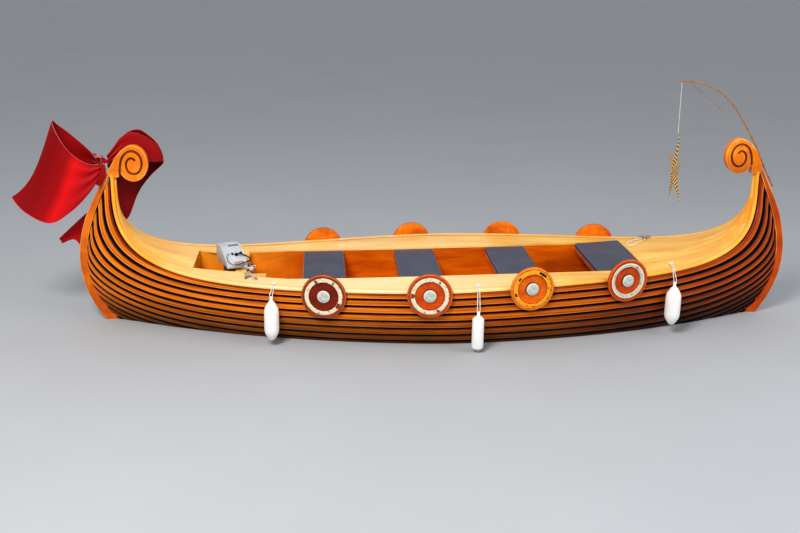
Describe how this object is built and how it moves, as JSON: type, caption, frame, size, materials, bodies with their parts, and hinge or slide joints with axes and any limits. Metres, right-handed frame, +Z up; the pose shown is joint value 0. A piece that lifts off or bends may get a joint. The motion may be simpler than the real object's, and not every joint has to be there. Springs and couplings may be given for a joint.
{
  "type": "clinker gondola boat",
  "caption": "Double-ended lapstrake pleasure boat with scroll-headed stems, side shields, cushioned cockpit and a small outboard in a well.",
  "frame": {"origin": "on the waterline, amidships, on the centre line", "axes": "+X toward the bow, +Y to port, +Z up"},
  "size_m": [6.117, 1.7356, 2.3639],
  "materials": {
    "plank": "varnished mahogany strakes",
    "keel": "dark varnished hardwood",
    "stem": "varnished orange-brown hardwood",
    "deck": "pale varnished plywood",
    "rim": "bright yellow varnished wood",
    "ply": "dark orange varnished plywood",
    "vinyl": "dark blue-grey vinyl",
    "shield_red": "stained red-brown, cream ring, grey boss",
    "shield_orange": "varnished orange, yellow ring",
    "fender": "white vinyl",
    "rope": "white laid rope",
    "steel": "worn",
    "ribbon": "red ribbon cloth",
    "cane": "bare cane",
    "straw": "bound straw",
    "motor_metal": "grey paint",
    "motor_case": "pale grey moulding",
    "black_rubber": "black"
  },
  "bodies": {
    "hull": {"aft_deck": "deck", "bow_knot": "ribbon", "bow_loop_aft": "ribbon", "bow_loop_fore": "ribbon", "bow_tail": "ribbon", "bulkhead_aft": "ply", "bulkhead_fore": "ply", "cap_board": "deck", "cushion_1": "vinyl", "cushion_2": "vinyl", "cushion_3": "vinyl", "cushion_4": "vinyl", "deck_cleat": "steel", "deck_rope": "rope", "fender_1": "fender", "fender_2": "fender", "fender_3": "fender", "fender_line_1": "rope", "fender_line_2": "rope", "fender_line_3": "rope", "foredeck": "deck", "keel_aft": "keel", "keel_main": "keel", "lining_port": "ply", "lining_starboard": "ply", "motor_clamp": "motor_metal", "motor_well": "ply", "planking_port": "plank", "planking_starboard": "plank", "quarter_pad": "deck", "rim_port": "rim", "rim_starboard": "rim", "shield_port_1": "shield_red", "shield_port_2": "shield_orange", "shield_port_3": "shield_red", "shield_port_4": "shield_orange", "shield_starboard_1": "shield_red", "shield_starboard_2": "shield_orange", "shield_starboard_3": "shield_red", "shield_starboard_4": "shield_orange", "side_deck_port": "deck", "side_deck_starboard": "deck", "sole": "ply", "star_rod": "cane", "star_string": "rope", "stem_bow": "stem", "stem_stern": "stem", "straw_star": "straw", "thwart_1": "ply", "thwart_2": "ply", "thwart_3": "ply", "thwart_4": "ply"},
    "motor": {"motor_head": "motor_case", "motor_leg": "motor_metal", "motor_tiller": "motor_case", "motor_cable": "black_rubber"},
    "propeller": {"propeller": "motor_metal"}
  },
  "joints": [
    {"name": "motor_steer", "type": "hinge", "parent": "hull", "child": "motor", "pos_m": [-1.684, 0, 0.3], "axis": [0, 0, 1], "range_deg": [-30, 40]},
    {"name": "propeller_spin", "type": "hinge", "parent": "motor", "child": "propeller", "pos_m": [-1.801, 0, -0.36], "axis": [1, 0, 0], "continuous": true}
  ]
}
